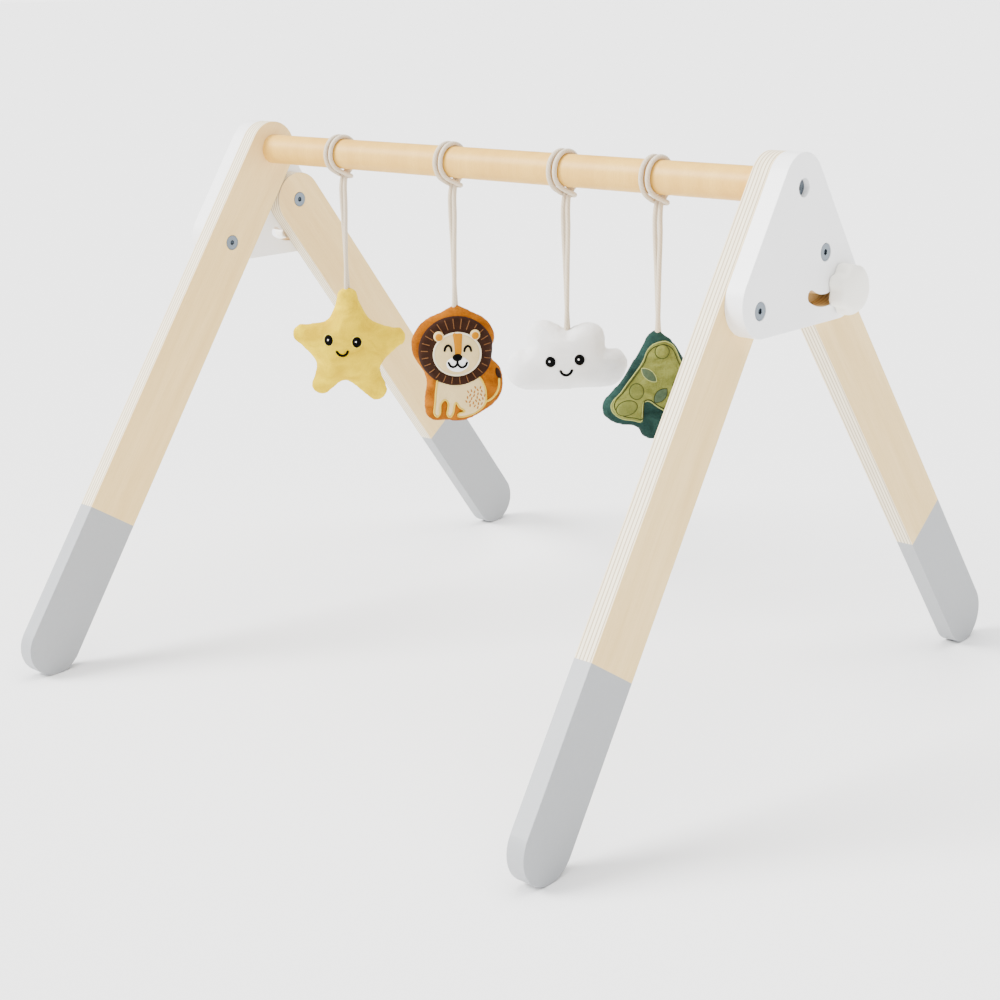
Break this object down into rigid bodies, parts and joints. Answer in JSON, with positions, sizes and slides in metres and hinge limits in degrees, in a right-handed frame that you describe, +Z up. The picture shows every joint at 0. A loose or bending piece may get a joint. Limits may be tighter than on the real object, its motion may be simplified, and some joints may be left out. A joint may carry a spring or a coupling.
{
  "type": "activity play gym",
  "caption": "Folding wooden baby play gym: two hinged plywood side frames with white clamp brackets, a round bar, and soft toys hitched on cords.",
  "frame": {"origin": "on the floor, under the middle of the frame's footprint", "axes": "+Z up, +X along the bar, the long front legs lean towards -Y and the clamped rear legs towards +Y"},
  "size_m": [0.6346, 0.601, 0.4503],
  "materials": {
    "birch_ply": "satin",
    "bar_wood": "satin",
    "white_lacquer": "matte",
    "steel": "satin",
    "brass": "satin",
    "knob_plastic": "satin",
    "cotton_cord": "matte",
    "yellow_plush": "matte",
    "orange_plush": "matte",
    "brown_felt": "matte",
    "cream_felt": "matte",
    "white_plush": "matte",
    "teal_plush": "matte",
    "olive_felt": "matte"
  },
  "bodies": {
    "frame": {"crossbar": "bar_wood", "bar_insert_left": "steel", "bar_insert_right": "steel", "bar_bolt_left": "steel", "bar_bolt_right": "steel", "front_leg_left": "birch_ply", "front_leg_right": "birch_ply", "bracket_left": "white_lacquer", "bracket_right": "white_lacquer", "frame_bolt_left": "steel", "frame_bolt_right": "steel", "frame_nut_left": "steel", "frame_nut_right": "steel", "pivot_bolt_left": "steel", "pivot_bolt_right": "steel", "pivot_nut_left": "steel", "pivot_nut_right": "steel"},
    "rear_left": {"rear_leg_left": "birch_ply", "leg_insert_left": "brass"},
    "clamp_left": {"knob_left": "knob_plastic", "knob_bush_left": "brass", "knob_stud_left": "steel"},
    "rear_right": {"rear_leg_right": "birch_ply", "leg_insert_right": "brass"},
    "clamp_right": {"knob_right": "knob_plastic", "knob_bush_right": "brass", "knob_stud_right": "steel"},
    "star_hitch": {"hitch_star": "cotton_cord"},
    "star_cord": {"cord_star": "cotton_cord"},
    "star_toy": {"toy_star": "yellow_plush"},
    "lion_hitch": {"hitch_lion": "cotton_cord"},
    "lion_cord": {"cord_lion": "cotton_cord"},
    "lion_toy": {"toy_lion": "orange_plush", "lion_mane": "brown_felt", "lion_face": "cream_felt", "lion_coat": "cream_felt"},
    "cloud_hitch": {"hitch_cloud": "cotton_cord"},
    "cloud_cord": {"cord_cloud": "cotton_cord"},
    "cloud_toy": {"toy_cloud": "white_plush"},
    "dino_hitch": {"hitch_dino": "cotton_cord"},
    "dino_cord": {"cord_dino": "cotton_cord"},
    "dino_toy": {"toy_dino": "teal_plush", "dino_coat": "olive_felt"}
  },
  "joints": [
    {"name": "rear_leg_left_fold", "type": "hinge", "parent": "frame", "child": "rear_left", "pos_m": [0, 0.01856, 0.37599], "axis": [-1, 0, 0], "range_deg": [0, 68]},
    {"name": "knob_left_turn", "type": "hinge", "parent": "rear_left", "child": "clamp_left", "pos_m": [-0.3, 0.03923, 0.34775], "axis": [-1, 0, 0], "range_deg": [0, 540]},
    {"name": "rear_leg_right_fold", "type": "hinge", "parent": "frame", "child": "rear_right", "pos_m": [0, 0.01856, 0.37599], "axis": [-1, 0, 0], "range_deg": [0, 68]},
    {"name": "knob_right_turn", "type": "hinge", "parent": "rear_right", "child": "clamp_right", "pos_m": [0.3, 0.03923, 0.34775], "axis": [1, 0, 0], "range_deg": [0, 540]},
    {"name": "star_slide", "type": "slide", "parent": "frame", "child": "star_hitch", "axis": [1, 0, 0], "range_m": [-0.03, 0.03]},
    {"name": "star_swing", "type": "hinge", "parent": "star_hitch", "child": "star_cord", "pos_m": [-0.179, -0.00959, 0.40566], "axis": [1, 0, 0], "range_deg": [-60, 60]},
    {"name": "star_twist", "type": "hinge", "parent": "star_cord", "child": "star_toy", "pos_m": [-0.179, -0.00959, 0.30527], "axis": [0, 0, 1], "range_deg": [-40, 40]},
    {"name": "lion_slide", "type": "slide", "parent": "frame", "child": "lion_hitch", "axis": [1, 0, 0], "range_m": [-0.02, 0.02]},
    {"name": "lion_swing", "type": "hinge", "parent": "lion_hitch", "child": "lion_cord", "pos_m": [-0.045, -0.00959, 0.40566], "axis": [1, 0, 0], "range_deg": [-60, 60]},
    {"name": "lion_twist", "type": "hinge", "parent": "lion_cord", "child": "lion_toy", "pos_m": [-0.045, -0.00959, 0.30427], "axis": [0, 0, 1], "range_deg": [-40, 40]},
    {"name": "cloud_slide", "type": "slide", "parent": "frame", "child": "cloud_hitch", "axis": [1, 0, 0], "range_m": [-0.02, 0.005]},
    {"name": "cloud_swing", "type": "hinge", "parent": "cloud_hitch", "child": "cloud_cord", "pos_m": [0.079, -0.00959, 0.40566], "axis": [1, 0, 0], "range_deg": [-60, 60]},
    {"name": "cloud_twist", "type": "hinge", "parent": "cloud_cord", "child": "cloud_toy", "pos_m": [0.079, -0.00959, 0.29827], "axis": [0, 0, 1], "range_deg": [-40, 40]},
    {"name": "dino_slide", "type": "slide", "parent": "frame", "child": "dino_hitch", "axis": [1, 0, 0], "range_m": [-0.005, 0.04]},
    {"name": "dino_swing", "type": "hinge", "parent": "dino_hitch", "child": "dino_cord", "pos_m": [0.17, -0.00959, 0.40566], "axis": [1, 0, 0], "range_deg": [-60, 60]},
    {"name": "dino_twist", "type": "hinge", "parent": "dino_cord", "child": "dino_toy", "pos_m": [0.17, -0.00959, 0.30627], "axis": [0, 0, -1], "range_deg": [-40, 40]}
  ]
}
